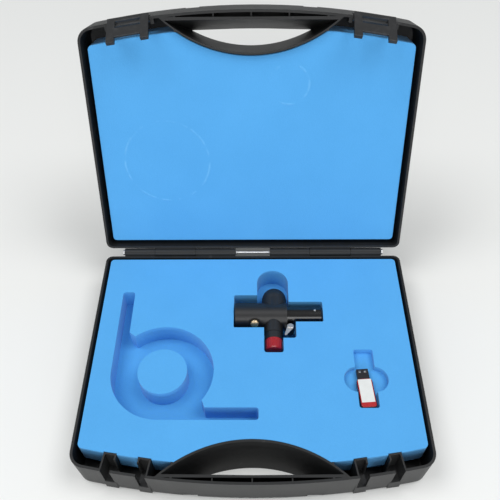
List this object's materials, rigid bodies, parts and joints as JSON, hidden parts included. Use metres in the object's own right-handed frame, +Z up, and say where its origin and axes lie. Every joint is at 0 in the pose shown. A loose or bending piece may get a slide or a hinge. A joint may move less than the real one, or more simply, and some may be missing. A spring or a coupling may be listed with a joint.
{
  "type": "star tracker mount",
  "caption": "Cross-tube mount with clamp barrel, thumb screw, lock lever and capped port, lying with a memory stick in fitted foam in a hinged two-shell carry case.",
  "frame": {"origin": "middle of the flat underside of the case's base", "axes": "+Z up, +X to the right, +Y from the handle to the hinge"},
  "size_m": [0.34, 0.3959, 0.2967],
  "materials": {
    "case_plastic": "satin, fine moulded grain",
    "foam": "matt closed-cell foam",
    "steel": "zinc plated",
    "latch_plastic": "satin",
    "anodised_matt": "bead-blasted black anodised",
    "anodised_gloss": "polished black anodised",
    "glass": "coated",
    "mirror": "polished",
    "brass": "machined",
    "nylon": "plain",
    "red_plastic": "moulded, ribbed",
    "bright_steel": "stamped",
    "stick_dark": "gloss",
    "stick_red": "gloss",
    "label": "printed paper",
    "dark_metal": "dark"
  },
  "bodies": {
    "base": {"base_shell": "case_plastic", "foam_top": "foam", "foam_floor": "foam", "hinge_rod": "steel"},
    "lid": {"lid_shell": "case_plastic", "lid_foam": "foam", "latch_pin_left": "steel", "latch_pin_right": "steel"},
    "latch_left": {"latch_left": "latch_plastic"},
    "latch_right": {"latch_right": "latch_plastic"},
    "instrument": {"cross_body": "anodised_matt", "dome_cap": "anodised_matt", "nose_tube": "anodised_gloss", "nose_ring": "anodised_matt", "front_lens": "glass", "diagonal_mirror": "mirror", "mirror_holder": "anodised_matt", "port_collar": "anodised_matt", "port_lens": "glass", "body_screws": "bright_steel", "lever_boss": "anodised_matt", "lever_screw": "bright_steel"},
    "screw_pad": {"clamp_pad": "nylon"},
    "thumb_screw": {"thumb_screw": "brass"},
    "lever": {"lock_lever": "bright_steel"},
    "cap": {"port_cap": "red_plastic"},
    "memory_stick": {"stick_body": "stick_dark", "stick_cover": "stick_red", "stick_label": "label", "stick_plug": "dark_metal", "stick_tongue": "label"}
  },
  "joints": [
    {"name": "lid_hinge", "type": "hinge", "parent": "base", "child": "lid", "pos_m": [0, 0.1345, 0.044], "axis": [-1, 0, 0], "range_deg": [-110, 0]},
    {"name": "latch_left_turn", "type": "hinge", "parent": "lid", "child": "latch_left", "pos_m": [-0.11797, 0.22678, 0.2835], "axis": [-0.989, -0.0507, -0.1392], "range_deg": [0, 120]},
    {"name": "latch_right_turn", "type": "hinge", "parent": "lid", "child": "latch_right", "pos_m": [0.11797, 0.22678, 0.2835], "axis": [-0.989, 0.0507, 0.1392], "range_deg": [0, 120]},
    {"name": "instrument_lift", "type": "slide", "parent": "base", "child": "instrument", "axis": [0, 0, 1], "range_m": [0, 0.07]},
    {"name": "screw_feed", "type": "slide", "parent": "instrument", "child": "screw_pad", "axis": [0, -0.891, 0.454], "range_m": [0, 0.0014]},
    {"name": "screw_turn", "type": "hinge", "parent": "screw_pad", "child": "thumb_screw", "pos_m": [0.0023, 0.0526, 0.0334], "axis": [0, -0.891, 0.454], "range_deg": [0, 720.01]},
    {"name": "lever_turn", "type": "hinge", "parent": "instrument", "child": "lever", "pos_m": [0.0407, 0.0352, 0.0393], "axis": [0, 0, 1], "range_deg": [0, 40]},
    {"name": "cap_pull", "type": "slide", "parent": "instrument", "child": "cap", "axis": [0, -1, 0], "range_m": [0, 0.007]},
    {"name": "stick_lift", "type": "slide", "parent": "base", "child": "memory_stick", "axis": [0, 0, 1], "range_m": [0, 0.05]}
  ],
  "couplings": [
    {"joint": "screw_turn", "follows": "screw_feed", "rad_per_m": 8976}
  ]
}
